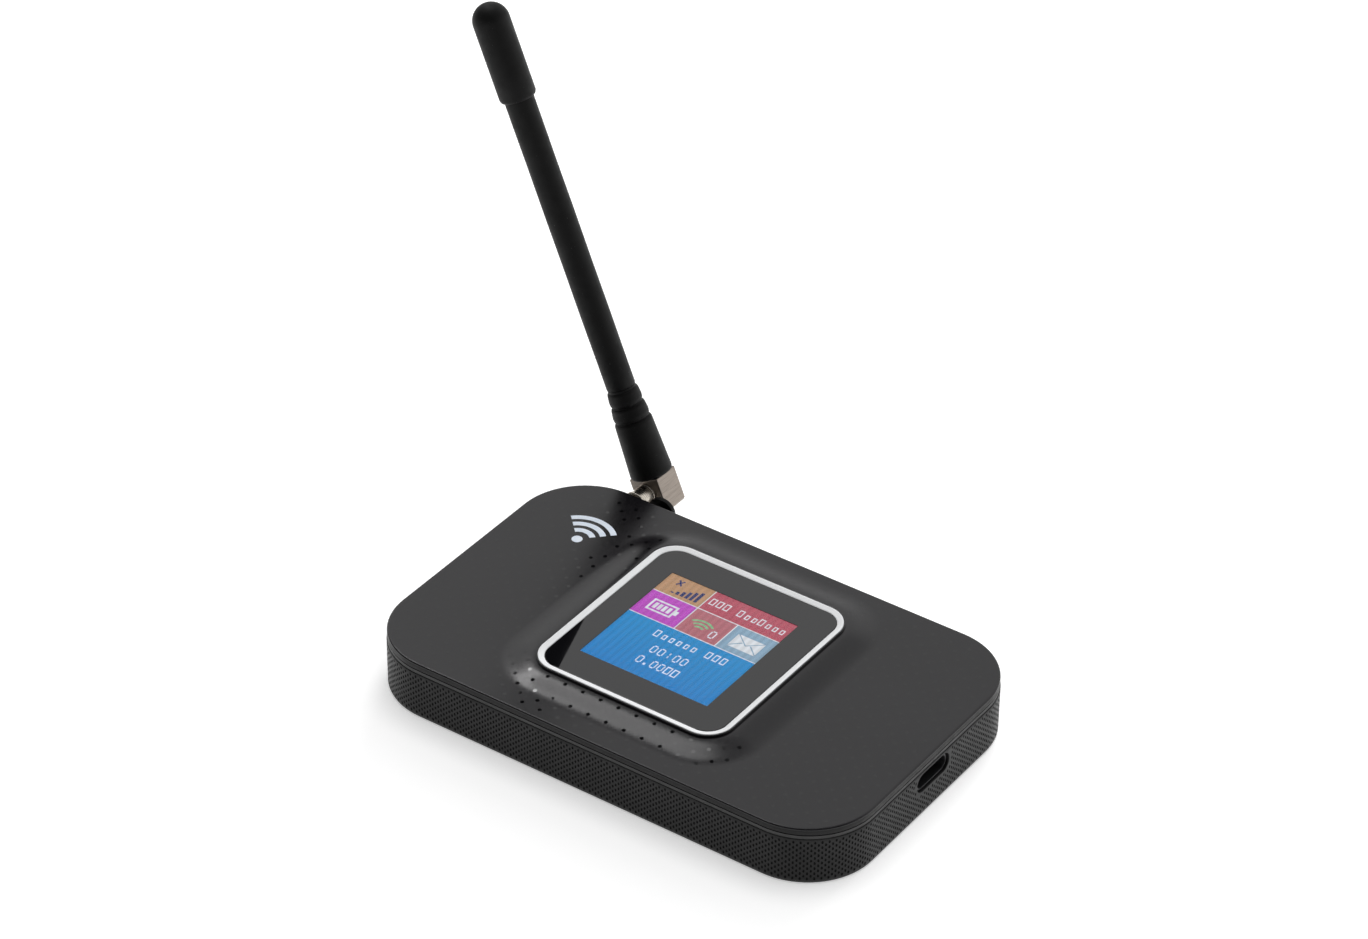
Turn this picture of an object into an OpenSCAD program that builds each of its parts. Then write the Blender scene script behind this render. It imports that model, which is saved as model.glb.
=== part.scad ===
// Mobile hotspot with a plug-in whip antenna.
// Millimetres, +Z up. Origin: middle of the body footprint, on the surface it rests on.
// +X is the end with the charging socket, +Y is the rear side with the antenna jack.

/* [Body] */
// Length of the body along X
body_w = 94.1; // [80:0.1:110]
// Depth of the body along Y
body_d = 59.6; // [50:0.2:70]
// Corner radius seen from above
corner_r = 12.7; // [8:0.1:16]
// Height of the flat part of the top
flat_top = 11.1; // [10.5:0.1:14]
// Wall thickness of the chassis
wall = 1.7; // [1.2:0.1:2.4]
// Rounding of the bottom outer edge
bottom_round = 0.4; // [0.2:0.1:1]
// Gap all round a part that moves
moving_gap = 0.3; // [0.15:0.05:0.5]

/* [Display] */
// Centre of the display along X
display_x = -0.8; // [-5:0.1:5]
// Centre of the display along Y
display_y = 1; // [-5:0.1:5]
// Outer width of the bright ring round the display
ring_w = 37.8; // [30:0.1:45]
// Outer depth of the bright ring
ring_d = 40.8; // [30:0.1:48]
// Outer corner radius of the bright ring
ring_r = 4.8; // [3:0.1:10]
// Width of the bright line itself
ring_line = 1.1; // [0.6:0.1:2]
// How far the display stands above the flat top
pillow_rise = 1.3; // [0.5:0.1:2.5]
// Length of the slope from the flat top up to the ring
pillow_run = 6.5; // [2:0.1:8]
// Width of the lit picture
picture_w = 25.5; // [20:0.1:30]
// Depth of the lit picture
picture_d = 26.5; // [20:0.1:30]

/* [Ports and buttons] */
// Position of the charging socket along Y
usb_y = 0.4; // [-10:0.1:10]
// Height of the middle of the charging socket
usb_z = 6.8; // [5:0.1:7]
// Position of the antenna jack along X
jack_x = -33.9; // [-36:0.05:-20]
// Height of the middle of the antenna jack
jack_z = 8.25; // [7:0.05:8.25]
// Position of the power button along X
power_x = 14; // [5:0.5:30]
// Position of the pairing button along X
pairing_x = 30; // [20:0.5:32]
// Length of each button cap
button_w = 10; // [6:0.5:12]
// How far a button stands out of the wall
button_out = 0.5; // [0.2:0.1:1]

/* [Battery and card] */
// Width of the battery along X
battery_w = 56; // [40:1:56]
// Depth of the battery along Y
battery_d = 46; // [30:1:46]
// Thickness of the battery
battery_h = 4.8; // [3:0.1:5]

/* [Antenna] */
// Lean of the antenna away from upright
antenna_lean = 23; // [-60:1:80]
// Distance from the jack axis up to the tip
antenna_reach = 91.6; // [60:0.1:120]
// Diameter of the whip
whip_d = 5.2; // [4:0.1:6]
// Diameter of the tip cap
tip_d = 6.5; // [5:0.1:8]
// Length of the tip cap
tip_len = 17.5; // [10:0.5:25]

/* [Hidden] */
$fn = 96;
tiny = 0.02;
half_w = body_w / 2;
half_d = body_d / 2;
cover_skirt_z = 9.85;
chassis_top = 9.7;
deck_z = 6.7;
deck_t = 0.7;
board_z = 8.4;
board_t = 0.8;
plate_t = 1;
pillow_top = flat_top + pillow_rise;
lip_w = 0.3;
lip_h = 0.4;
ring_dip = 0.22;
lens_z = pillow_top - 0.95;
lens_gap = 0.05;
panel_w = picture_w + 2.6;
panel_d = picture_d + 6.2;
frame_w = panel_w + 1.6;
frame_d = panel_d + 1.6;
screw_x = 39.6;
screw_y = 22.4;
battery_x = -7.4;
battery_z = 1.4;
bay_gap = 0.5;
card_w = 12;
card_d = 15;
card_x = 29.4;
card_y = -14;
card_z = 7.35;
contact_y = 17.5;
usb_shell_w = 8.94;
usb_shell_h = 3.2;
usb_open_w = 9.7;
usb_open_h = 3.7;
usb_len = 7.1;
jack_out_r = 1.55;
jack_in_r = 1.27;
plug_nose_r = 1.2;
plug_bore_r = 1;
plug_y = 31;
flange_r = 2.15;
flange_t = 0.65;
barrel_r = 1.85;
elbow_y = 37.7;
elbow_w = 6.3;
elbow_d = 5.4;
elbow_low = 4;
boot_low = 2.6;
boot_r = 3.8;
boot_top_r = 3.38;
boot_len = 10.5;
whip_start = 19.55;
hinge_x = jack_x + 6.4;
hinge_y = half_d + 2.1;
flap_x = jack_x + 4.6;
flap_y = half_d + 2.55;
flap_t = 0.8;
flap_r = 2.4;
flap_run = 0.3;
flap_z = 7.8;
pin_r = 0.35;
mark_x = -33.5;
mark_y = 13.7;
button_z = 6.9;
button_h = 2.8;

// Which piece to draw

// ---------- shared shapes ----------

// Flat rounded rectangle
module round_rect(w, d, r) {
  square([w - 2 * r, d], center = true);
  square([w, d - 2 * r], center = true);
  for (x = [-1, 1], y = [-1, 1])
    translate([x * (w / 2 - r), y * (d / 2 - r)])
      circle(r);
}

// Rounded slab from one height to another
module slab(w, d, r, z_low, z_high) {
  translate([0, 0, z_low])
    linear_extrude(z_high - z_low)
      round_rect(w, d, r);
}

// Box given by its centre in plan and two heights
module block(x, y, w, d, z_low, z_high) {
  translate([x - w / 2, y - d / 2, z_low])
    cube([w, d, z_high - z_low]);
}

// Slot with round ends, lying in a wall: w along the first axis, h upward
module pill(w, h) {
  square([w - h, h], center = true);
  for (side = [-1, 1])
    translate([side * (w - h) / 2, 0])
      circle(h / 2);
}

// Carries a cross-section round a rounded rectangle.
// The section is drawn with its first axis pointing outward from the corner centre.
module carry_round(w, d, r) {
  run_x = w - 2 * r;
  run_y = d - 2 * r;
  for (turn = [0, 180])
    rotate([0, 0, turn])
      translate([run_x / 2, run_y / 2, 0])
        rotate([90, 0, 0])
          linear_extrude(run_y)
            children();
  for (turn = [90, 270])
    rotate([0, 0, turn])
      translate([run_y / 2, run_x / 2, 0])
        rotate([90, 0, 0])
          linear_extrude(run_x)
            children();
  for (corner = [[1, 1, 0], [-1, 1, 90], [-1, -1, 180], [1, -1, 270]])
    translate([corner[0] * run_x / 2, corner[1] * run_y / 2, 0])
      rotate([0, 0, corner[2]])
        rotate_extrude(angle = 90)
          children();
}

// Moves a shape onto the four case screws
module at_screws() {
  for (x = [-1, 1], y = [-1, 1])
    translate([x * screw_x, y * screw_y, 0])
      children();
}

// Cylinder along Y between two depths
module rod_y(x, z, r, y_low, y_high) {
  translate([x, y_high, z])
    rotate([90, 0, 0])
      cylinder(h = y_high - y_low, r = r);
}

// Antenna frame: origin on the jack axis, first axis across, third axis along the antenna
module antenna_frame() {
  translate([jack_x, elbow_y, jack_z])
    rotate([0, -antenna_lean, 0])
      children();
}

// ---------- housing ----------

// Cross-section of the chassis side wall
module wall_section() {
  polygon(concat(
    [[corner_r - wall + moving_gap, 0]],
    [for (a = [-90 : 15 : 0])
      [corner_r - bottom_round + bottom_round * cos(a), bottom_round + bottom_round * sin(a)]],
    [
      [corner_r, chassis_top],
      [corner_r - wall, chassis_top],
      [corner_r - wall, plate_t + 0.1],
      [corner_r - wall + moving_gap, plate_t + 0.1]
    ]
  ));
}

// Openings through the deck for parts that hang below the board
module deck_openings() {
  block(card_x, card_y + 5, card_w + 1.6, card_d + 13, deck_z - 1, board_z);
  block(22.8, contact_y, 3.6, 10, deck_z - 1, board_z);
  block(half_w - 4.4, usb_y, 9, 10.6, deck_z - 1, board_z);
  block(jack_x, half_d - 5, 6.4, 10, deck_z - 1, board_z);
  for (x = [power_x, pairing_x])
    block(x, half_d - 4, button_w + 4.5, 8, deck_z - 1, board_z);
}

// Side wall, deck, battery walls and screw posts in one moulding
module chassis() {
  bay_w = battery_w + 2 * bay_gap;
  bay_d = battery_d + 2 * bay_gap;
  deck_w = body_w - 2 * wall + 0.4;
  deck_d = body_d - 2 * wall + 0.4;
  color([0.13, 0.13, 0.13])
    difference() {
      union() {
        carry_round(body_w, body_d, corner_r)
          wall_section();
        difference() {
          union() {
            slab(deck_w, deck_d, corner_r - wall + 0.2, deck_z, deck_z + deck_t);
            block(battery_x, 0, bay_w + 2, bay_d + 2, plate_t + 0.4, deck_z + 0.2);
          }
          block(battery_x, 0, bay_w, bay_d, 0, deck_z);
          block(battery_x + bay_w / 2, contact_y, 6, 10, 0, deck_z);
          deck_openings();
        }
        at_screws()
          translate([0, 0, 2.6])
            cylinder(h = board_z - 2.6, r = 3.2);
      }
      at_screws() {
        translate([0, 0, 2])
          cylinder(h = 3, r = 2);
        translate([0, 0, 2])
          cylinder(h = board_z - 1.5, r = 1);
        translate([0, 0, board_z - 0.6])
          cylinder(h = 1, r = 2.1);
      }
      translate([half_w - wall - 1, usb_y, usb_z])
        rotate([90, 0, 90])
          linear_extrude(wall + 2)
            pill(usb_open_w, usb_open_h);
      rod_y(jack_x, jack_z, jack_out_r + 0.05, half_d - wall - 1, half_d + 1);
      rod_y(hinge_x, flap_z, 0.6, half_d - wall - 1, half_d + 1);
      for (x = [power_x, pairing_x])
        translate([x, half_d + 1, button_z])
          rotate([90, 0, 0])
            linear_extrude(wall + 2)
              pill(button_w + 0.5, button_h + 0.5);
    }
}

// Bottom plate that comes off to reach the battery
module battery_cover() {
  edge = wall - moving_gap + 0.3;
  color([0.12, 0.12, 0.12])
    difference() {
      union() {
        slab(body_w - 2 * edge, body_d - 2 * edge, corner_r - edge, 0, plate_t);
        for (x = [-25, 25], side = [-1, 1])
          block(x, side * (half_d - edge - 1.4), 6, 0.8, plate_t - tiny, 2);
      }
      translate([0, -half_d + edge, 0])
        cylinder(h = 3 * plate_t, r = 4, center = true);
      for (x = [-24 : 8 : 24])
        translate([x, 18, -plate_t / 2])
          linear_extrude(plate_t)
            pill(5, 1.2);
    }
}

// Height of the slope at a share of the way up, easing in and out
function slope_rise(t) = (pillow_rise - lip_h) * pow(sin(90 * pow(t, 1.1)), 2);

// Cross-section of the raised part round the display, with a small lip beside the ring
module pillow_section() {
  steps = 12;
  polygon(concat(
    [[0, flat_top - 0.5], [ring_r + pillow_run, flat_top - 0.5]],
    [for (i = [0 : steps])
      [ring_r + lip_w + (pillow_run - lip_w) * (1 - i / steps), flat_top + slope_rise(i / steps)]],
    [[ring_r + lip_w, pillow_top], [0, pillow_top]]
  ));
}

// Cross-section of the rim of the top cover
module cover_rim_section() {
  edge = corner_r - 0.12;
  polygon([
    [0, flat_top - 1.1],
    [edge - 1.5, flat_top - 1.1],
    [edge - 1.5, cover_skirt_z],
    [edge, cover_skirt_z],
    [edge, flat_top - 0.35],
    [edge - 0.35, flat_top],
    [0, flat_top]
  ]);
}

// Top plate with its rim, raised display surround and screw posts
module top_cover() {
  run_w = body_w - 2 * corner_r;
  run_d = body_d - 2 * corner_r;
  seat_w = ring_w + 0.1;
  seat_d = ring_d + 0.1;
  lid_w = body_w - 2 * wall - 0.3;
  lid_d = body_d - 2 * wall - 0.3;
  color([0.16, 0.16, 0.17])
    difference() {
      union() {
        carry_round(body_w, body_d, corner_r)
          cover_rim_section();
        block(0, 0, run_w, run_d, flat_top - 1.1, flat_top);
        translate([display_x, display_y, 0]) {
          carry_round(ring_w, ring_d, ring_r)
            pillow_section();
          block(0, 0, ring_w - 2 * ring_r, ring_d - 2 * ring_r, flat_top - 0.5, pillow_top);
        }
        difference() {
          slab(lid_w, lid_d, corner_r - wall - 0.15, chassis_top - 0.35, flat_top - 1);
          slab(lid_w - 2, lid_d - 2, corner_r - wall - 1.15, board_z, flat_top);
        }
        at_screws()
          translate([0, 0, board_z - 0.4])
            cylinder(h = 2.4, r = 1.9);
      }
      translate([display_x, display_y, 0]) {
        slab(seat_w, seat_d, ring_r + 0.05, lens_z, pillow_top + 1);
        block(0, 0, frame_w + 0.6, frame_d + 0.6, board_z, pillow_top + 1);
      }
      at_screws()
        translate([0, 0, board_z - 1])
          cylinder(h = 3.2, r = 0.65);
      rod_y(jack_x, jack_z, 2.1, half_d - wall - 2, half_d - wall + 0.6);
      translate([mark_x, mark_y, flat_top - 0.12])
        linear_extrude(1)
          mark_shape(0.03);
    }
}

// ---------- display ----------

// Bright ring set into the raised part, its face dipping inward
module display_ring() {
  color([0.9, 0.9, 0.92])
    translate([display_x, display_y, 0])
      carry_round(ring_w, ring_d, ring_r)
        polygon([
          [ring_r - ring_line, lens_z],
          [ring_r, lens_z],
          [ring_r, pillow_top + 0.04],
          [ring_r - ring_line, pillow_top - ring_dip]
        ]);
}

// Glossy window inside the ring
module display_lens() {
  inset = 2 * ring_line + 2 * lens_gap;
  color([0.05, 0.05, 0.06])
    translate([display_x, display_y, 0])
      difference() {
        slab(ring_w - inset, ring_d - inset, ring_r - inset / 2, lens_z, pillow_top - ring_dip);
        block(0, 0, picture_w + 0.6, picture_d + 0.6, lens_z - 1, lens_z + 0.15);
      }
}

// Glass sandwich that shows the picture
module lcd_panel() {
  color([0.18, 0.42, 0.75])
    block(display_x, display_y, panel_w, panel_d, lens_z - 0.95, lens_z - 0.05);
}

// White light guide under the panel
module lcd_backlight() {
  color([0.93, 0.94, 0.95])
    block(display_x, display_y, panel_w, panel_d, lens_z - 1.9, lens_z - 1);
}

// Tray that holds the panel and the light guide
module lcd_frame() {
  color([0.75, 0.76, 0.78])
    difference() {
      block(display_x, display_y, frame_w, frame_d, lens_z - 2.2, lens_z - 0.2);
      block(display_x, display_y, panel_w + 0.1, panel_d + 0.1, lens_z - 1.95, lens_z);
      block(display_x, display_y - frame_d / 2, 15, 2, lens_z - 3, lens_z);
    }
}

// Ribbon from the panel down to the board
module display_flex() {
  panel_front = display_y - panel_d / 2 - tiny;
  board_top = board_z + board_t + tiny;
  color([0.72, 0.5, 0.16])
    union() {
      block(display_x, panel_front - 0.63, 14, 0.14, board_top, lens_z - 0.3);
      block(display_x, panel_front - 0.35, 14, 0.7, lens_z - 0.45, lens_z - 0.3);
      block(display_x, panel_front - 2.9, 14, 4.4, board_top, board_top + 0.12);
      block(display_x, panel_front - 5, 15, 1.6, board_top + 0.1, board_top + 0.7);
    }
}

// One arc of the mark, opening upward
module mark_arc(r, line, grow) {
  intersection() {
    difference() {
      circle(r + line / 2 + grow);
      circle(r - line / 2 - grow);
    }
    polygon([[0, -grow], [-12, 12], [12, 12]]);
  }
}

// Plain radio-wave mark
module mark_shape(grow) {
  circle(0.95 + grow);
  for (r = [2.65, 4.5, 6.35])
    mark_arc(r, 1.05, grow);
}

// Pale mark set into the top cover
module top_mark() {
  color([0.9, 0.94, 1])
    translate([mark_x, mark_y, flat_top - 0.12])
      linear_extrude(0.15)
        mark_shape(0);
}

// ---------- electronics ----------

// Circuit board with clearance for the posts, the jack and the ports
module main_board() {
  edge = wall + 0.6;
  color([0.05, 0.3, 0.16])
    difference() {
      slab(body_w - 2 * edge, body_d - 2 * edge, corner_r - edge, board_z, board_z + board_t);
      at_screws()
        cylinder(h = 20, r = 2.15);
      block(jack_x, half_d - 4.2, 4.6, 8, board_z - 1, board_z + 2);
    }
}

// Folded metal can over a group of chips, open upward against the board
module shield_can(x, y, w, d) {
  difference() {
    block(x, y, w, d, board_z - 0.9, board_z);
    block(x, y, w - 0.4, d - 0.4, board_z - 0.75, board_z + 1);
    for (i = [-1, 0, 1], j = [-1, 0, 1])
      translate([x + i * w / 4, y + j * d / 4, board_z - 1])
        cylinder(h = 0.5, r = 0.5, $fn = 24);
  }
}

// Can over the modem
module modem_shield() {
  color([0.78, 0.79, 0.8])
    shield_can(-20, -8, 24, 24);
}

// Can over the local radio
module radio_shield() {
  color([0.78, 0.79, 0.8])
    shield_can(6, -10, 18, 20);
}

// Modem package
module modem_chip() {
  color([0.1, 0.1, 0.11])
    block(-20, -8, 12, 12, board_z - 0.65, board_z - 0.02);
}

// Local radio package
module radio_chip() {
  color([0.1, 0.1, 0.11])
    block(6, -10, 8, 8, board_z - 0.65, board_z - 0.02);
}

// Small parts on the upper face of the board
module board_parts() {
  top = board_z + board_t;
  color([0.6, 0.52, 0.4])
    union() {
      for (i = [0 : 5]) {
        block(-36 + 2.4 * i, -16, 1.6, 0.8, top + tiny, top + 0.6);
        block(26 + 2.4 * i, 12, 1.6, 0.8, top + tiny, top + 0.6);
      }
      block(30, -8, 6, 6, top + tiny, top + 0.7);
      block(-30, 2, 4, 4, top + tiny, top + 0.6);
      block(32, 4, 3, 3, top + tiny, top + 0.7);
    }
}

// Metal mouth of the charging socket
module usb_shell() {
  start = half_w - 0.3 - usb_len;
  color([0.7, 0.71, 0.73])
    translate([start, usb_y, usb_z])
      rotate([90, 0, 90])
        difference() {
          linear_extrude(usb_len)
            pill(usb_shell_w, usb_shell_h);
          translate([0, 0, 0.4])
            linear_extrude(usb_len)
              pill(usb_shell_w - 0.6, usb_shell_h - 0.6);
        }
}

// Contact tongue inside the charging socket
module usb_tongue() {
  start = half_w - 0.3 - usb_len + 0.4;
  color([0.12, 0.12, 0.13])
    union() {
      block(start + 2.6, usb_y, 5.2, 6.7, usb_z - 0.35, usb_z + 0.35);
      block(start + 0.6, usb_y, 1.2, 7.2, usb_z - 0.8, usb_z + 0.8);
    }
}

// Threadless metal jack in the rear wall
module antenna_jack() {
  color([0.83, 0.76, 0.6])
    union() {
      difference() {
        rod_y(jack_x, jack_z, jack_out_r, 25.2, half_d + 0.6);
        rod_y(jack_x, jack_z, jack_in_r, 26.4, half_d + 1);
        rod_y(jack_x, jack_z, 0.8, 25, 27);
      }
      difference() {
        block(jack_x, 25.5, 4.4, 2.8, jack_z - 0.6, board_z + board_t + 0.4);
        rod_y(jack_x, jack_z, jack_out_r - 0.05, 24, 28);
      }
    }
}

// Insulator with the spring contact at the bottom of the jack
module jack_insulator() {
  color([0.92, 0.9, 0.85])
    difference() {
      rod_y(jack_x, jack_z, 0.78, 24.4, 28.4);
      rod_y(jack_x, jack_z, 0.42, 25.4, 29);
    }
}

// Rechargeable pack
module battery() {
  color([0.2, 0.21, 0.23])
    difference() {
      union() {
        block(battery_x, 0, battery_w - 3, battery_d, battery_z, battery_z + battery_h);
        block(battery_x, 0, battery_w, battery_d - 3, battery_z, battery_z + battery_h);
        for (x = [-1, 1], y = [-1, 1])
          translate([battery_x + x * (battery_w / 2 - 1.5), y * (battery_d / 2 - 1.5), battery_z])
            cylinder(h = battery_h, r = 1.5);
      }
      for (i = [-1.5 : 1 : 1.5])
        block(battery_x + battery_w / 2, contact_y + i * 2.2, 1, 1.4, 2.6, 4.6);
      block(battery_x - battery_w / 2 + 3, 0, 3, 12, battery_z - 1, battery_z + 0.4);
    }
}

// Block of spring blades that touches the pack
module battery_contacts() {
  face = battery_x + battery_w / 2;
  color([0.85, 0.68, 0.3])
    union() {
      block(face + 2.6, contact_y, 2.6, 9, 2.2, board_z - tiny);
      for (i = [-1.5 : 1 : 1.5])
        block(face + 0.75, contact_y + i * 2.2, 1.4, 1, 3.2, 4);
    }
}

// Metal cage for the subscriber card, under the board
module sim_socket() {
  cage_d = 11;
  cage_y = card_y - (card_d - cage_d) / 2;
  color([0.76, 0.77, 0.78])
    difference() {
      block(card_x, cage_y - 0.4, card_w + 1.4, cage_d + 0.4, card_z - 0.35, board_z - tiny);
      block(card_x, cage_y + 1, card_w + 0.5, cage_d + 2.6, card_z - 0.15, card_z + 0.95);
      block(card_x, cage_y + 3, card_w - 6, cage_d, card_z - 1, card_z + 0.5);
    }
}

// Subscriber card
module sim_card() {
  color([0.92, 0.92, 0.9])
    translate([card_x, card_y, card_z])
      linear_extrude(0.76)
        difference() {
          square([card_w, card_d], center = true);
          translate([card_w / 2, -card_d / 2])
            rotate([0, 0, 45])
              square(4.2, center = true);
        }
}

// Side button with the flange that keeps it in the wall
module side_button(x) {
  inner = half_d - wall;
  translate([x, inner - 0.15, button_z])
    rotate([-90, 0, 0])
      linear_extrude(wall + 0.15 + button_out)
        pill(button_w, button_h);
  translate([x, inner - 0.75, button_z])
    rotate([-90, 0, 0])
      linear_extrude(0.65)
        pill(button_w + 1.8, button_h - 0.2);
  block(x, inner - 0.9, 2, 0.4, button_z - 0.8, button_z + 0.8);
}

// Power button on the rear side
module power_button() {
  color([0.1, 0.1, 0.1])
    side_button(power_x);
}

// Pairing button on the rear side
module pairing_button() {
  color([0.1, 0.1, 0.1])
    side_button(pairing_x);
}

// Push switches behind the two buttons
module side_switches() {
  inner = half_d - wall;
  color([0.8, 0.8, 0.8])
    for (x = [power_x, pairing_x]) {
      block(x, inner - 2.7, 4.4, 1.8, board_z - 2.2, board_z - tiny);
      block(x, inner - 1.68, 2, 0.3, button_z - 0.5, button_z + 0.5);
    }
}

// Four screws from below through the deck into the top cover
module case_screws() {
  color([0.5, 0.5, 0.52])
    at_screws()
      difference() {
        union() {
          translate([0, 0, 4])
            cylinder(h = 1, r = 1.5);
          translate([0, 0, 4.9])
            cylinder(h = board_z - 3.1, r = 0.6);
        }
        for (turn = [0, 90])
          rotate([0, 0, turn])
            block(0, 0, 1.8, 0.35, 3, 4.5);
      }
}

// Internal antenna strip along the front wall
module inner_antenna_front() {
  color([0.75, 0.55, 0.2])
    difference() {
      block(10, -half_d + wall + 0.35, 34, 0.3, 3, 6);
      for (i = [-3 : 3])
        block(10 + 4.4 * i, -half_d + wall + 0.35, 0.8, 1, 3.8, 6.5);
    }
}

// Internal antenna strip along the left wall
module inner_antenna_left() {
  color([0.75, 0.55, 0.2])
    difference() {
      block(-half_w + wall + 0.35, 0, 0.3, 26, 3, 6);
      for (i = [-2 : 2])
        block(-half_w + wall + 0.35, 4.4 * i, 1, 0.8, 2.5, 5.2);
    }
}

// ---------- rubber cover of the antenna jack ----------

// Stalk in the wall with an upright pin
module cover_anchor() {
  color([0.08, 0.08, 0.08])
    union() {
      rod_y(hinge_x, flap_z, 0.5, half_d - wall - 0.2, hinge_y);
      translate([hinge_x, hinge_y, flap_z - 1.1])
        cylinder(h = 2.2, r = pin_r);
    }
}

// Flap with a sealing plug and two loops round the pin, pulled out beside the jack
module port_cover() {
  flap_mid = flap_x + flap_run / 2;
  color([0.08, 0.08, 0.08])
    difference() {
      union() {
        for (x = [0, flap_run])
          rod_y(flap_x + x, flap_z, flap_r, flap_y, flap_y + flap_t);
        block(flap_mid, flap_y + flap_t / 2, flap_run, flap_t, flap_z - flap_r, flap_z + flap_r);
        rod_y(flap_x, flap_z, 1.2, flap_y - 1.1, flap_y + 0.2);
        translate([hinge_x, hinge_y, flap_z - 0.95])
          cylinder(h = 1.9, r = 0.8);
      }
      translate([hinge_x, hinge_y, flap_z - 2])
        cylinder(h = 4, r = pin_r + 0.05);
      block(hinge_x, hinge_y - 0.45, 1.9, 1.74, flap_z - 0.55, flap_z + 0.55);
      rod_y(jack_x, jack_z, flange_r + 0.3, half_d, half_d + 6);
    }
}

// ---------- antenna ----------

// Turned plug: nose in the jack, flange and barrel with a fine groove
module plug_barrel() {
  front = elbow_y - elbow_d / 2;
  color([0.83, 0.79, 0.74])
    difference() {
      union() {
        rod_y(jack_x, jack_z, plug_nose_r, 27.2, plug_y + 0.1);
        rod_y(jack_x, jack_z, flange_r, plug_y, plug_y + flange_t);
        rod_y(jack_x, jack_z, barrel_r, plug_y + 0.1, front - 0.6);
        rod_y(jack_x, jack_z, barrel_r - 0.12, front - 0.7, front - 0.4);
        rod_y(jack_x, jack_z, barrel_r, front - 0.45, front + 2.6);
      }
      rod_y(jack_x, jack_z, plug_bore_r, 27, front + 3);
    }
}

// Insulator inside the plug
module plug_insulator() {
  color([0.95, 0.95, 0.93])
    difference() {
      rod_y(jack_x, jack_z, plug_bore_r - tiny, 28.6, elbow_y + 0.1);
      rod_y(jack_x, jack_z, 0.32, 28, elbow_y + 1);
    }
}

// Centre pin of the plug
module plug_pin() {
  color([0.88, 0.72, 0.35])
    rod_y(jack_x, jack_z, 0.3, 26.2, elbow_y + 0.1);
}

// Right-angle metal block that turns on the barrel
module plug_elbow() {
  depth = elbow_d / 2;
  color([0.74, 0.69, 0.63])
    antenna_frame()
      difference() {
        translate([0, depth, 0])
          rotate([90, 0, 0])
            linear_extrude(elbow_d)
              polygon([
                [-elbow_w / 2, -elbow_low + 0.5],
                [-elbow_w / 2 + 0.5, -elbow_low],
                [elbow_w / 2 - 0.5, -elbow_low],
                [elbow_w / 2, -elbow_low + 0.5],
                [elbow_w / 2, boot_low],
                [-elbow_w / 2, boot_low]
              ]);
        translate([0, 0.4, 0])
          rotate([90, 0, 0])
            cylinder(h = elbow_d, r = barrel_r + 0.06);
        cylinder(h = 10, r = 0.95);
      }
}

// Rubber boot with two strain-relief ribs
module antenna_boot() {
  low = boot_low + 0.01;
  top = boot_low + boot_len;
  color([0.06, 0.06, 0.06])
    antenna_frame()
      rotate_extrude()
        polygon([
          [1.02, low],
          [boot_r - 0.2, low],
          [boot_r, low + 0.3],
          [boot_top_r, top - 0.3],
          [boot_top_r - 0.2, top],
          [2.95, top + 0.05],
          [2.95, top + 0.3],
          [3.18, top + 0.55],
          [3.25, top + 1.2],
          [3.06, top + 2.6],
          [2.9, top + 2.9],
          [2.65, top + 2.95],
          [2.65, top + 3.2],
          [2.9, top + 3.5],
          [2.97, top + 4.1],
          [2.82, top + 5.5],
          [2.68, top + 5.8],
          [2.48, top + 5.85],
          [2.48, top + 6.1],
          [whip_d / 2, whip_start],
          [1.02, whip_start]
        ]);
}

// Straight rubber sleeve of the whip
module antenna_whip() {
  color([0.06, 0.06, 0.06])
    antenna_frame()
      difference() {
        translate([0, 0, whip_start + tiny])
          cylinder(h = antenna_reach - 5 - whip_start - tiny, r = whip_d / 2);
        cylinder(h = antenna_reach - 6, r = 1.02);
      }
}

// Cap over the end of the whip
module antenna_tip() {
  low = antenna_reach - tip_len;
  dome = tip_d / 2;
  color([0.06, 0.06, 0.06])
    antenna_frame()
      rotate_extrude()
        polygon(concat(
          [
            [whip_d / 2 + tiny, low],
            [dome - 0.5, low],
            [dome, low + 0.6],
            [dome, antenna_reach - dome]
          ],
          [for (a = [15 : 15 : 90])
            [dome * cos(a), antenna_reach - dome + dome * sin(a)]],
          [
            [0, antenna_reach - 4.9],
            [whip_d / 2 + tiny, antenna_reach - 4.9]
          ]
        ));
}

// Radiator inside the boot and the whip
module antenna_core() {
  color([0.72, 0.45, 0.2])
    antenna_frame()
      translate([0, 0, 2.2])
        cylinder(h = antenna_reach - 10, r = 0.9);
}

chassis();
battery_cover();
top_cover();
display_ring();
display_lens();
lcd_panel();
lcd_backlight();
lcd_frame();
display_flex();
top_mark();
main_board();
modem_shield();
radio_shield();
modem_chip();
radio_chip();
board_parts();
usb_shell();
usb_tongue();
antenna_jack();
jack_insulator();
battery();
battery_contacts();
sim_socket();
sim_card();
power_button();
pairing_button();
side_switches();
case_screws();
inner_antenna_front();
inner_antenna_left();
cover_anchor();
port_cover();
plug_barrel();
plug_insulator();
plug_pin();
plug_elbow();
antenna_boot();
antenna_whip();
antenna_tip();
antenna_core();
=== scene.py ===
"""Looks of a mobile hotspot with a whip antenna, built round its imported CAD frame."""
import math

import bmesh
import bpy
import numpy as np
from mathutils import Matrix, Vector
from mathutils.geometry import delaunay_2d_cdt


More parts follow.
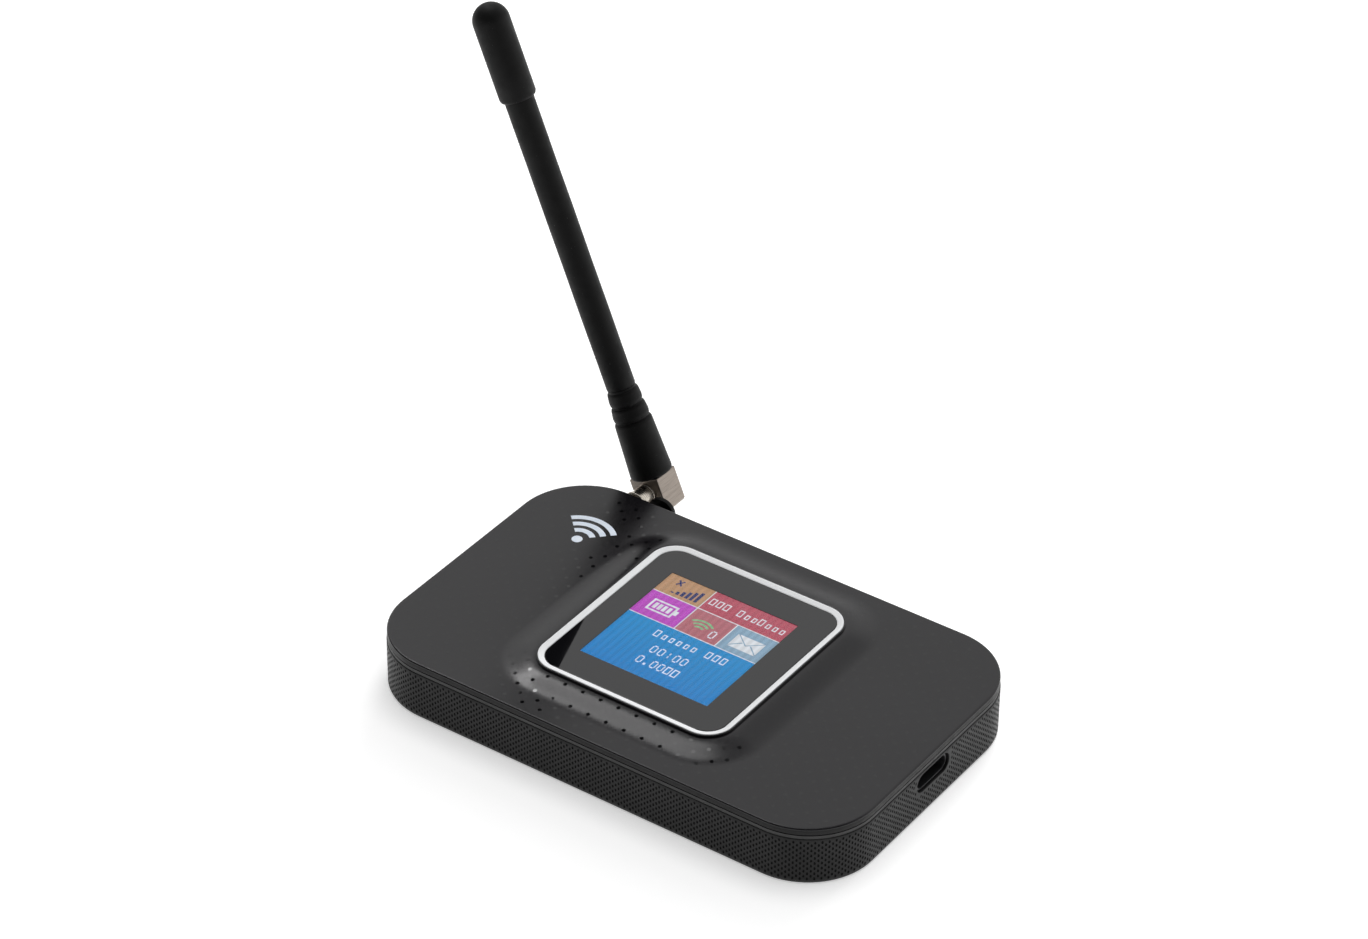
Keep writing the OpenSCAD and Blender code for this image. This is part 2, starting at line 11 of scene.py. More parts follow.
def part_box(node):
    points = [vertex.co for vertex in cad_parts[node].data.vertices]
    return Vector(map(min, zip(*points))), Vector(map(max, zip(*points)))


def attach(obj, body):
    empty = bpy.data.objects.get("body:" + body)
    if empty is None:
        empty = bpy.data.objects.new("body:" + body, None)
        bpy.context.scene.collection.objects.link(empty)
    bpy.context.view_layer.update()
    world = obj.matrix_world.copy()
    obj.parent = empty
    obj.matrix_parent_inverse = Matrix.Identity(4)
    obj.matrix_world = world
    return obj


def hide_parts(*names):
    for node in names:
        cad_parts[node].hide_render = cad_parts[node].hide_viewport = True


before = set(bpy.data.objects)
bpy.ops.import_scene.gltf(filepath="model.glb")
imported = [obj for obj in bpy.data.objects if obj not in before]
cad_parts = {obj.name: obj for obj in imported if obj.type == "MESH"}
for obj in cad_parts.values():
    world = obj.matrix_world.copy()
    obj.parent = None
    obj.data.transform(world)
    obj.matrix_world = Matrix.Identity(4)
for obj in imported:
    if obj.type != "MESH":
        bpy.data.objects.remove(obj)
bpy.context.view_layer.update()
MM = 0.001

# ---------- sizes, in millimetres, read from the frame where it holds them ----------


def box_mm(node):
    low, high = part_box(node)
    return [c / MM for c in low], [c / MM for c in high]


_, wall_high = box_mm("chassis")
_, cover_high = box_mm("top_cover")
ring_low, ring_high = box_mm("display_ring")
lens_low, _ = box_mm("display_lens")
panel_low, panel_high = box_mm("lcd_panel")
mark_low, mark_high = box_mm("top_mark")

# the side wall in plan, and the rim of the top cover, which stands a little proud of the CAD cover
HALF_W = wall_high[0]
HALF_D = wall_high[1]
CORNER = 12.7
RIM_PROUD = 0.16
RIM_INSET = HALF_W - cover_high[0] - RIM_PROUD
RIM_LOW = 9.85
RIM_EDGE = 0.3

# thickness of the mark's print; heights of the display surround, flat top and window's seat
MARK_THICK = 0.03
PILLOW_TOP = cover_high[2]
FLAT_TOP = mark_high[2] - MARK_THICK
SEAT_Z = lens_low[2]

# display ring: its middle, half sizes, corner radius, width of its line and dish across it
DISPLAY_X = (ring_low[0] + ring_high[0]) / 2
DISPLAY_Y = (ring_low[1] + ring_high[1]) / 2
RING_HX = (ring_high[0] - ring_low[0]) / 2
RING_HY = (ring_high[1] - ring_low[1]) / 2
RING_R = 4.8
RING_LINE = 1.1
RING_DIP = 0.22

# slope round the display, and the small lip at its inner edge
SLOPE_RUN = 6.5
LIP_WIDE = 0.3
LIP_HIGH = 0.4

# small polished dots of the top
DOT_PITCH_X = 3.56
DOT_PITCH_Y = 3.5
DOT_RADIUS = 0.36
DOT_FIRST_Y = -24.27

# dimpled skin of the side
SKIN_OUT = 0.13
SKIN_LOW = 0.6
SKIN_ROWS = 8
SKIN_COLUMNS = 500
ROW_PITCH = 1.045

# lit picture: its middle, half sizes, and how many picture cells it has
PICTURE_X = DISPLAY_X - 0.39
PICTURE_Y = DISPLAY_Y - 0.06
PICTURE_HX = 12.75
PICTURE_HY = 13.25
PICTURE_COLUMNS = 128
PICTURE_ROWS = 132

# antenna: axis of the jack, middle of the turning block, lean, reach of the tip from the axis,
# and radius of the bore for the core
JACK_X = -33.9
JACK_Z = 8.25
ELBOW_Y = 37.7
LEAN = math.radians(23)
REACH = 91.6
CORE_BORE = 1.02

# slot of the charging socket
USB_Y = 0.4
USB_Z = 6.8
USB_HALF_W = 4.85
USB_HALF_H = 1.85

# ---------- camera ----------


def make_camera():
    """The viewpoint of the photograph; distances are in millimetres from the frame's origin."""
    azimuth, elevation, roll = (math.radians(a) for a in (34.674, 35.215, 0.655))
    distance, aside, above = 762.92, -1.65, 38.618
    level = math.cos(elevation)
    back = Vector((math.sin(azimuth) * level, -math.cos(azimuth) * level, math.sin(elevation)))
    across = Vector((math.cos(azimuth), math.sin(azimuth), 0))
    up = back.cross(across)
    right = across * math.cos(roll) + up * math.sin(roll)
    top = up * math.cos(roll) - across * math.sin(roll)
    place = (back * distance + across * aside + up * above) * MM
    data = bpy.data.cameras.new("camera")
    data.lens = 120.58
    data.sensor_width = 36
    data.clip_start = 0.01
    data.clip_end = 20
    camera = bpy.data.objects.new("camera", data)
    bpy.context.scene.collection.objects.link(camera)
    turn = Matrix((right, top, back)).transposed()
    camera.matrix_world = Matrix.Translation(place) @ turn.to_4x4()
    bpy.context.scene.camera = camera


make_camera()

# ---------- materials ----------


LOOKS = {}


class Look:
    """A Principled material, kept in LOOKS under its name, with helpers for procedural detail."""

    def __init__(self, name, color, rough, metal=0.0, ior=1.5):
        self.mat = bpy.data.materials.new(name)
        self.mat.use_nodes = True
        self.nodes = self.mat.node_tree.nodes
        self.links = self.mat.node_tree.links
        self.bsdf = self.nodes["Principled BSDF"]
        self.set("Base Color", (*color, 1))
        self.set("Roughness", rough)
        self.set("Metallic", metal)
        self.set("IOR", ior)
        self.mat.diffuse_color = (*color, 1)
        self.coord = self.nodes.new("ShaderNodeTexCoord")
        self.normal = None
        LOOKS[name] = self.mat

    def set(self, socket, value):
        self.bsdf.inputs[socket].default_value = value

    def place(self, stretch):
        """Object coordinates stretched along each axis, for lines and brushing."""
        node = self.nodes.new("ShaderNodeMapping")
        node.inputs["Scale"].default_value = stretch
        self.links.new(self.coord.outputs["Object"], node.inputs["Vector"])
        return node.outputs["Vector"]

    def noise(self, scale, detail=3.0, rough=0.5, vector=None):
        node = self.nodes.new("ShaderNodeTexNoise")
        node.inputs["Scale"].default_value = scale
        node.inputs["Detail"].default_value = detail
        node.inputs["Roughness"].default_value = rough
        self.links.new(vector or self.coord.outputs["Object"], node.inputs["Vector"])
        return node.outputs["Fac"]

    def ramp(self, value, stops):
        node = self.nodes.new("ShaderNodeValToRGB")
        node.color_ramp.elements[0].position = stops[0][0]
        node.color_ramp.elements[0].color = (*stops[0][1], 1)
        node.color_ramp.elements[1].position = stops[-1][0]
        node.color_ramp.elements[1].color = (*stops[-1][1], 1)
        for at, color in stops[1:-1]:
            element = node.color_ramp.elements.new(at)
            element.color = (*color, 1)
        self.links.new(value, node.inputs["Fac"])
        return node.outputs["Color"]

    def stretch(self, value, low, high, from_low=0.3, from_high=0.7):
        """Maps a value from one range to another."""
        node = self.nodes.new("ShaderNodeMapRange")
        node.inputs["From Min"].default_value = from_low
        node.inputs["From Max"].default_value = from_high
        node.inputs["To Min"].default_value = low
        node.inputs["To Max"].default_value = high
        self.links.new(value, node.inputs["Value"])
        return node.outputs["Result"]

    def color(self, value, low, high, from_low=0.35, from_high=0.65):
        blend = self.ramp(value, [(from_low, low), (from_high, high)])
        self.links.new(blend, self.bsdf.inputs["Base Color"])

    def rough(self, value, low, high):
        self.links.new(self.stretch(value, low, high), self.bsdf.inputs["Roughness"])

    def bump(self, value, strength, distance_mm):
        node = self.nodes.new("ShaderNodeBump")
        node.inputs["Strength"].default_value = strength
        node.inputs["Distance"].default_value = distance_mm * MM
        self.links.new(value, node.inputs["Height"])
        if self.normal is not None:
            self.links.new(self.normal, node.inputs["Normal"])
        self.normal = node.outputs["Normal"]
        self.links.new(self.normal, self.bsdf.inputs["Normal"])


def grey(level):
    return (level, level, level)


def make_looks():
    """The materials that the pieces name."""
    top = Look("satin_top", (0.005, 0.0045, 0.0056), 0.2)
    top.set("Specular IOR Level", 0.46)
    top.color(top.noise(60, 4), (0.0042, 0.0036, 0.0048), (0.006, 0.0052, 0.0068))
    top.rough(top.noise(900, 5, 0.6), 0.21, 0.26)
    top.bump(top.noise(9000, 3, 0.6), 0.06, 0.02)

    dot = Look("glossy_dot", (0.003, 0.003, 0.0035), 0.04)
    dot.rough(dot.noise(2500, 3), 0.02, 0.06)

    shell = Look("moulded_shell", grey(0.014), 0.42)
    shell.color(shell.noise(150, 4), grey(0.011), grey(0.017))
    shell.rough(shell.noise(700, 4), 0.36, 0.5)
    shell.bump(shell.noise(6000, 4, 0.6), 0.25, 0.03)

    skin = Look("dimpled_side", grey(0.016), 0.4)
    skin.set("Specular IOR Level", 0.2)
    skin.color(skin.noise(250, 4), grey(0.012), grey(0.017))
    skin.rough(skin.noise(1200, 4), 0.34, 0.46)
    skin.bump(skin.noise(7000, 3, 0.6), 0.2, 0.02)

    # pit walls and floors of the side's dimples: a darker copy of the side, painting shade into the
    # hollows
    pit_shade = Look("dimple_pit_painted_shade", grey(0.004), 0.6)
    pit_shade.set("Specular IOR Level", 0.1)
    pit_shade.rough(pit_shade.noise(1200, 4), 0.5, 0.7)

    band = Look("rim_band", grey(0.008), 0.45)
    band.set("Specular IOR Level", 0.2)
    band.rough(band.noise(900, 4), 0.4, 0.52)
    band.bump(band.noise(7000, 3, 0.6), 0.12, 0.02)

    rubber = Look("antenna_rubber", grey(0.003), 0.55)
    rubber.set("Specular IOR Level", 0.22)
    specks = rubber.noise(2600, 2, 0.8)
    tint = rubber.ramp(specks, [(0.70, grey(0.003)), (0.76, grey(0.04)), (0.82, grey(0.08))])
    rubber.links.new(tint, rubber.bsdf.inputs["Base Color"])
    rubber.rough(rubber.noise(500, 5, 0.7), 0.48, 0.64)
    rubber.bump(rubber.noise(5200, 5, 0.7), 0.35, 0.03)

    nickel = Look("brushed_nickel", (0.62, 0.54, 0.46), 0.3, 1.0)
    lines = nickel.noise(1, 4, 0.65, nickel.place((5200, 260, 5200)))
    nickel.color(lines, (0.25, 0.218, 0.19), (0.38, 0.33, 0.288), 0.3, 0.7)
    nickel.rough(lines, 0.26, 0.42)
    nickel.bump(lines, 0.35, 0.012)

    turned = Look("turned_nickel", (0.72, 0.66, 0.58), 0.16, 1.0)
    rings = turned.noise(1, 3, 0.6, turned.place((300, 6000, 300)))
    turned.color(rings, (0.64, 0.58, 0.5), (0.76, 0.7, 0.62), 0.3, 0.7)
    turned.rough(rings, 0.2, 0.32)
    turned.bump(rings, 0.15, 0.006)

    silver = Look("ring_silver", (0.87, 0.88, 0.89), 0.35)
    silver.rough(silver.noise(1500, 3), 0.3, 0.4)
    silver.bump(silver.noise(8000, 2), 0.05, 0.01)

    lens = Look("lens_border", (0.004, 0.004, 0.005), 0.02, ior=1.57)
    lens.rough(lens.noise(300, 3), 0.015, 0.03)

    window = Look("lens_window", grey(1), 0.0, ior=1.12)
    window.set("Transmission Weight", 1.0)
    window.rough(window.noise(300, 3), 0.0, 0.004)

    mark = Look("mark_ink", (0.80, 0.88, 1.0), 0.45)
    mark.rough(mark.noise(1500, 3), 0.4, 0.5)
    mark.color(mark.noise(900, 3), (0.76, 0.85, 0.97), (0.84, 0.91, 1.0))

    board = Look("board_green", (0.01, 0.09, 0.03), 0.35)
    traces = board.noise(1, 2, 0.5, board.place((900, 250, 900)))
    board.color(traces, (0.006, 0.06, 0.022), (0.02, 0.16, 0.05), 0.46, 0.54)
    board.bump(traces, 0.3, 0.03)

    tin = Look("tinned_can", (0.62, 0.63, 0.64), 0.35, 1.0)
    tin.rough(tin.noise(400, 5), 0.28, 0.45)
    tin.bump(tin.noise(900, 4), 0.2, 0.04)

    chip = Look("chip_epoxy", (0.012, 0.012, 0.013), 0.6)
    chip.rough(chip.noise(3000, 4), 0.5, 0.7)
    chip.bump(chip.noise(9000, 3), 0.3, 0.02)

    steel = Look("port_steel", (0.5, 0.51, 0.53), 0.28, 1.0)
    steel.rough(steel.noise(1, 4, 0.6, steel.place((400, 4000, 4000))), 0.2, 0.38)
    steel.bump(steel.noise(3000, 3), 0.1, 0.01)

    jack = Look("jack_metal", (0.66, 0.59, 0.5), 0.2, 1.0)
    turning = jack.noise(1, 3, 0.6, jack.place((300, 6000, 300)))
    jack.color(turning, (0.58, 0.51, 0.43), (0.7, 0.63, 0.54), 0.3, 0.7)
    jack.rough(turning, 0.14, 0.26)

    mouth = Look("port_mouth", (0.05, 0.05, 0.053), 0.4, 0.7)
    mouth.rough(mouth.noise(1, 4, 0.6, mouth.place((400, 4000, 4000))), 0.3, 0.5)

    gold = Look("contact_gold", (0.83, 0.6, 0.25), 0.25, 1.0)
    gold.rough(gold.noise(1800, 4), 0.18, 0.34)
    gold.color(gold.noise(600, 3), (0.75, 0.52, 0.2), (0.87, 0.66, 0.3))

    waxy = Look("waxy_white", (0.8, 0.79, 0.75), 0.4)
    waxy.color(waxy.noise(800, 3), (0.74, 0.73, 0.69), (0.84, 0.83, 0.79))

    wrap = Look("battery_wrap", (0.02, 0.022, 0.026), 0.3)
    wrap.rough(wrap.noise(300, 5, 0.6), 0.22, 0.42)
    wrap.bump(wrap.noise(260, 4, 0.6), 0.3, 0.08)

    card = Look("plain_card", (0.8, 0.8, 0.78), 0.45)
    card.color(card.noise(400, 4), (0.76, 0.76, 0.74), (0.84, 0.84, 0.82))

    film = Look("flex_film", (0.5, 0.26, 0.05), 0.3)
    traces = film.noise(1, 2, 0.5, film.place((2200, 40, 40)))
    film.color(traces, (0.38, 0.18, 0.03), (0.6, 0.34, 0.08), 0.47, 0.53)

    copper = Look("copper_core", (0.72, 0.38, 0.2), 0.3, 1.0)
    copper.rough(copper.noise(900, 4), 0.22, 0.42)

    floor = Look("studio_floor", grey(0.9), 0.9)
    floor.color(floor.noise(3, 2), grey(0.885), grey(0.905))
    floor.set("Specular IOR Level", 0.0)
    floor.set("Emission Color", (1, 1, 1, 1))
    floor.set("Emission Strength", 0.46)


make_looks()


def screen_look(name, low, high):
    """A lit area of the display: a tint that grows lighter to the rear, under a faint grid."""
    look = Look(name, grey(0.01), 0.5, ior=1.2)
    grid = look.nodes.new("ShaderNodeTexWave")
    grid.bands_direction = "X"
    grid.inputs["Scale"].default_value = 250
    look.links.new(look.coord.outputs["Object"], grid.inputs["Vector"])
    rows = look.nodes.new("ShaderNodeSeparateXYZ")
    look.links.new(look.coord.outputs["Object"], rows.inputs["Vector"])
    depth = look.stretch(rows.outputs["Y"], 0.0, 1.0, panel_low[1] * MM, panel_high[1] * MM)
    tint = look.ramp(depth, [(0.0, low), (1.0, high)])
    dim = look.nodes.new("ShaderNodeMix")
    dim.data_type = "RGBA"
    dim.blend_type = "MULTIPLY"
    dim.inputs["Factor"].default_value = 0.16
    look.links.new(tint, dim.inputs["A"])
    look.links.new(grid.outputs["Color"], dim.inputs["B"])
    look.links.new(dim.outputs["Result"], look.bsdf.inputs["Emission Color"])
    look.set("Emission Strength", 1.0)
    return look.mat


# ---------- mesh helpers, in millimetres ----------


def add_piece(name, points, faces, looks, body="housing", face_look=None, smooth=True, sharp=None):
    """Makes a piece from points in millimetres and rides it on a body.

    looks is one look or a list, which face_look picks from; edges steeper than sharp stay crisp.
    """
    mesh = bpy.data.meshes.new(name)
    mesh.from_pydata([tuple(c * MM for c in p) for p in points], [], [tuple(f) for f in faces])
    for look in looks if isinstance(looks, list) else [looks]:
        mesh.materials.append(LOOKS[look] if isinstance(look, str) else look)
    if face_look is not None:
        mesh.polygons.foreach_set("material_index", face_look)
    mesh.polygons.foreach_set("use_smooth", [smooth] * len(mesh.polygons))
    mesh.validate()
    tidy = bmesh.new()
    tidy.from_mesh(mesh)
    bmesh.ops.recalc_face_normals(tidy, faces=tidy.faces)
    if sharp is not None:
        for edge in tidy.edges:
            if len(edge.link_faces) == 2 and edge.calc_face_angle(0) > sharp:
                edge.smooth = False
    tidy.to_mesh(mesh)
    tidy.free()
    piece = bpy.data.objects.new(name, mesh)
    bpy.context.scene.collection.objects.link(piece)
    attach(piece, body)
    return piece


def round_path(hx, hy, r, arc, along_x, along_y, cx=0.0, cy=0.0):
    """Points round a rounded rectangle, anticlockwise from the +X side."""
    points = []
    corners = [(1, 1, 0), (-1, 1, 90), (-1, -1, 180), (1, -1, 270)]
    for number, (sx, sy, start) in enumerate(corners):
        side = along_y if number % 2 == 0 else along_x
        last = corners[number - 1]
        first = ((hx - r) * last[0], (hy - r) * last[1])
        then = ((hx - r) * sx, (hy - r) * sy)
        angle = math.radians(start)
        normal = (math.cos(angle), math.sin(angle))
        for i in range(side):
            t = i / side
            x = first[0] + (then[0] - first[0]) * t + normal[0] * r
            y = first[1] + (then[1] - first[1]) * t + normal[1] * r
            points.append((x, y))
        for i in range(arc):
            angle = math.radians(start + 90 * i / arc)
            points.append((then[0] + math.cos(angle) * r, then[1] + math.sin(angle) * r))
    return np.array(points) + (cx, cy)


def flat_ring(xy, z):
    return np.column_stack([xy, np.full(len(xy), z)])


def display_ring_at(grow, z, shape):
    """A level ring that follows the outline of the display ring, grown by a distance."""
    half_x, half_y, r = RING_HX + grow, RING_HY + grow, RING_R + grow
    return flat_ring(round_path(half_x, half_y, r, cx=DISPLAY_X, cy=DISPLAY_Y, **shape), z)


def bridge(count, first, second):
    """Quads between two rings of the same count, given their first point numbers."""
    pairs = [(i, (i + 1) % count) for i in range(count)]
    return [(first + i, first + n, second + n, second + i) for i, n in pairs]


def loops_piece(name, rings, looks, body="housing", closed=False, capped=False, **more):
    """Joins rings of points into one surface, closed on itself or capped at both ends."""
    count = len(rings[0])
    points = np.concatenate(rings)
    faces = []
    last = len(rings) if closed else len(rings) - 1
    for k in range(last):
        faces += bridge(count, k * count, ((k + 1) % len(rings)) * count)
    if capped:
        faces.append(tuple(range(count))[::-1])
        faces.append(tuple(range((len(rings) - 1) * count, len(rings) * count)))
    return add_piece(name, points, faces, looks, body, **more)


def rounded_corner(points, radius, steps=4):
    """Rounds the corners of an open profile of (radius, height) points."""
    result = [points[0]]
    for i in range(1, len(points) - 1):
        here = Vector(points[i])
        back = Vector(points[i - 1]) - here
        on = Vector(points[i + 1]) - here
        reach = min(radius, back.length * 0.45, on.length * 0.45)
        start = here + back.normalized() * reach
        end = here + on.normalized() * reach
        for k in range(steps + 1):
            t = k / steps
            result.append(tuple(start * (1 - t) ** 2 + here * 2 * t * (1 - t) + end * t ** 2))
    result.append(points[-1])
    return result


def lathe(name, profile, looks, placing, body, around=64, closed=False, **more):
    """Turns a profile of (radius, height) round the third axis and places it with a matrix."""
    angle = np.linspace(0, 2 * math.pi, around, endpoint=False)
    rings = []
    for radius, height in profile:
        level = np.full(around, height)
        ring = np.column_stack([radius * np.cos(angle), radius * np.sin(angle), level])
        rings.append(np.array([tuple(placing @ Vector(p)) for p in ring]))
    return loops_piece(name, rings, looks, body, closed=closed, capped=not closed, **more)


# ---------- top cover ----------


def slope_rise(share):
    """Height of the slope round the display above the flat top, for a share of the way up."""
    share = min(max(share, 0), 1)
    return (PILLOW_TOP - LIP_HIGH - FLAT_TOP) * math.sin(math.pi / 2 * share ** 1.1) ** 2


def past_outline(x, y, hx, hy, r):
    """How far a point lies outside a rounded rectangle round zero, negative inside it."""
    qx = abs(x) - (hx - r)
    qy = abs(y) - (hy - r)
    return math.hypot(max(qx, 0), max(qy, 0)) + min(max(qx, qy), 0) - r


def top_height(x, y):
    """Height of the top surface at a point in plan, and how far the point is from the ring."""
    beyond = past_outline(x - DISPLAY_X, y - DISPLAY_Y, RING_HX, RING_HY, RING_R)
    return FLAT_TOP + slope_rise(1 - (beyond - LIP_WIDE) / (SLOPE_RUN - LIP_WIDE)), beyond


def make_top_cover():
    """The cover as one closed surface: seat, lip, slope, flat top, rim, and back underneath."""
    shape = dict(arc=20, along_x=16, along_y=16)
    slope_steps, edge_steps = 30, 6
    thick = 1.1
    seat_inset = 3.0
    rim_wall = 1.5

    def seat(grow, z):
        return display_ring_at(grow, z, shape)

    def rim(inset, z):
        return flat_ring(round_path(HALF_W - inset, HALF_D - inset, CORNER - inset, **shape), z)

    lip = ((0.06, 0.08), (0.1, 0.02), (0.14, 0), (0.22, 0.01), (0.28, 0.05), (LIP_WIDE, 0.12))
    rings = [seat(-seat_inset, SEAT_Z), seat(lip[0][0], SEAT_Z)]
    rings += [seat(grow, PILLOW_TOP - down) for grow, down in lip]
    for i in range(slope_steps + 1):
        grow = LIP_WIDE + (SLOPE_RUN - LIP_WIDE) * i / slope_steps
        rings.append(seat(grow, FLAT_TOP + slope_rise(1 - i / slope_steps)))
    inner = rings[-1]
    outer = rim(RIM_INSET + RIM_EDGE, FLAT_TOP)
    for share in (0.03, 0.125, 0.25, 0.375, 0.5, 0.625, 0.75, 0.875, 0.99, 1):
        rings.append(inner + (outer - inner) * share)
    for k in range(1, edge_steps + 1):
        angle = math.pi / 2 * k / edge_steps
        inset = RIM_INSET + RIM_EDGE * (1 - math.sin(angle))
        rings.append(rim(inset, FLAT_TOP - RIM_EDGE * (1 - math.cos(angle))))
    above = len(rings) - 1
    for inset, up in ((0, 0.12), (0.03, 0.04), (0.12, 0), (rim_wall, 0)):
        rings.append(rim(RIM_INSET + inset, RIM_LOW + up))
    rings += [rim(RIM_INSET + rim_wall, FLAT_TOP - thick), seat(-seat_inset, FLAT_TOP - thick)]
    count = len(rings[0])
    banded = [0] * (above * count) + [1] * ((len(rings) - above) * count)
    looks = ["satin_top", "rim_band"]
    bend = math.radians(50)
    piece = loops_piece("top_cover_shell", rings, looks, closed=True, face_look=banded, sharp=bend)
    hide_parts("top_cover")


def make_top_dots():
    """Small polished dots in a staggered pattern over the whole top."""
    around = 10
    edge_room, ring_room, mark_room = 1.6, LIP_WIDE + 0.4, 0.7
    below, proud = -0.01, 0.012
    points = []
    faces = []
    for row in range(-3, 34):
        y = DOT_FIRST_Y + row * DOT_PITCH_Y / 2
        shift = 0.0 if row % 2 == 0 else DOT_PITCH_X / 2
        for column in range(-14, 15):
            x = column * DOT_PITCH_X + shift
            inside = -past_outline(x, y, HALF_W, HALF_D, CORNER)
            _, beyond = top_height(x, y)
            on_mark = (mark_low[0] - mark_room < x < mark_high[0] + mark_room
                       and mark_low[1] - mark_room < y < mark_high[1] + mark_room)
            if inside < edge_room or beyond < ring_room or on_mark:
                continue
            start = len(points)
            for lift in (below, proud):
                for k in range(around):
                    angle = 2 * math.pi * k / around
                    px = x + DOT_RADIUS * math.cos(angle)
                    py = y + DOT_RADIUS * math.sin(angle)
                    points.append((px, py, top_height(px, py)[0] + lift))
            faces += bridge(around, start, start + around)
            faces.append(tuple(range(start + around, start + 2 * around)))
    piece = add_piece("top_dots", points, faces, "glossy_dot", sharp=math.radians(30))


# ---------- textured side ----------


def make_side_texture():
    """A band of small dimples in staggered columns, all round the side, cut for the openings.

    Places on the band are given by s, the distance along the wall's outline from the front end
    of the +X side, anticlockwise, and by the height z.
    """
    hx, hy, r = HALF_W, HALF_D, CORNER
    straight_x, straight_y = 2 * (hx - r), 2 * (hy - r)
    quarter = math.pi * r / 2
    total = 2 * (straight_x + straight_y) + 4 * quarter
    runs = [
        (hx - r, -(hy - r), 0, straight_y), (hx - r, hy - r, 90, straight_x),
        (-(hx - r), hy - r, 180, straight_y), (-(hx - r), -(hy - r), 270, straight_x),
    ]

    def on_path(s):
        """The place on the wall's outline at s, and the outward direction there."""
        s = s % total
        for cx, cy, start, run in runs:
            angle = math.radians(start)
            normal = (math.cos(angle), math.sin(angle))
            if s <= run:
                x = cx + normal[0] * r - normal[1] * s
                return x, cy + normal[1] * r + normal[0] * s, normal
            s -= run
            if s <= quarter:
                corner = (cx - normal[1] * run, cy + normal[0] * run)
                angle += s / r
                normal = (math.cos(angle), math.sin(angle))
                return corner[0] + normal[0] * r, corner[1] + normal[1] * r, normal
            s -= quarter
        return hx, -(hy - r), (1.0, 0.0)

    step = total / SKIN_COLUMNS
    half = ROW_PITCH / 2
    levels = 2 * SKIN_ROWS + 1
    points = []
    faces = []
    shaded_pit_faces = set()

    def put(s, z, out):
        x, y, normal = on_path(s)
        points.append((x + normal[0] * out, y + normal[1] * out, z))
        return len(points) - 1

    def rear_opening(s):
        """The jack with the port cover beside it, and the two buttons, on the rear side."""
        x, _, normal = on_path(s)
        return normal[1] > 0.99 and (JACK_X - 4.2 < x < JACK_X + 8.6 or 6.5 < x < 37.5)

    def open_column(j):
        return rear_opening((j + 0.1) * step) or rear_opening((j + 0.9) * step)

    kept = [not open_column(j) for j in range(SKIN_COLUMNS)]
    grid = {}

    def corner(j, k):
        key = (j % SKIN_COLUMNS, k)
        if key not in grid:
            grid[key] = put(key[0] * step, SKIN_LOW + k * half, SKIN_OUT)
        return grid[key]

    usb_s = straight_y / 2 + USB_Y
    usb_straight = USB_HALF_W - USB_HALF_H

    def in_slot(s, z, grow):
        ds = abs(s - usb_s) - usb_straight
        return math.hypot(max(ds, 0), z - USB_Z) < USB_HALF_H + grow

    def near_slot(s, z, tall):
        """Whether a cell touches the socket's slot, with a little room round it."""
        across = [s + u * step / 2 for u in (-1, 0, 1)]
        upright = [z + v * tall / 2 for v in (-1, 0, 1)]
        return s < straight_y and any(in_slot(a, b, 0.12) for a in across for b in upright)

    # the dimples: oval pits of twelve sides, each in the middle of a six-cornered cell; the pits
    # take a darker look, which paints shade into them
    removed = []
    hole, rim_wide, rim_tall, shrink, depth = 12, 0.19, 0.3, 0.8, 0.09
    ring_angles = np.arange(hole) * 2 * math.pi / hole
    around = [(rim_wide * math.sin(a), rim_tall * math.cos(a)) for a in ring_angles]
    for j in range(SKIN_COLUMNS):
        if not kept[j]:
            continue
        low = j % 2
        cells = [(k, k + 2, True) for k in range(low, levels - 2, 2)]
        if low:
            cells = [(0, 1, False)] + cells + [(levels - 2, levels - 1, False)]
        for k0, k1, dimple in cells:
            s, z = (j + 0.5) * step, SKIN_LOW + (k0 + k1) / 2 * half
            loop = [corner(j, k) for k in range(k0, k1 + 1)]
            loop += [corner(j + 1, k) for k in range(k1, k0 - 1, -1)]
            if near_slot(s, z, (k1 - k0) * half):
                removed.append((j, k0, k1, loop))
                continue
            if not dimple:
                faces.append(loop)
                continue
            rims = [put(s + u, z + v, SKIN_OUT) for u, v in around]
            floors = [put(s + u * shrink, z + v * shrink, SKIN_OUT - depth) for u, v in around]
            # loop runs up the low-s side and down the high-s side; rims start at the top
            ordered = [loop[2], loop[3], loop[4], loop[5], loop[0], loop[1]]
            starts = [11, 1, 3, 5, 7, 9]
            for i in range(6):
                a, b = starts[i], starts[(i + 1) % 6]
                span = [rims[(a + n) % hole] for n in range((b - a) % hole + 1)]
                faces.append([ordered[i], ordered[(i + 1) % 6]] + span[::-1])
            for n in range(hole):
                shaded_pit_faces.add(len(faces))
                faces.append([rims[n], rims[(n + 1) % hole], floors[(n + 1) % hole], floors[n]])
            shaded_pit_faces.add(len(faces))
            faces.append(floors)

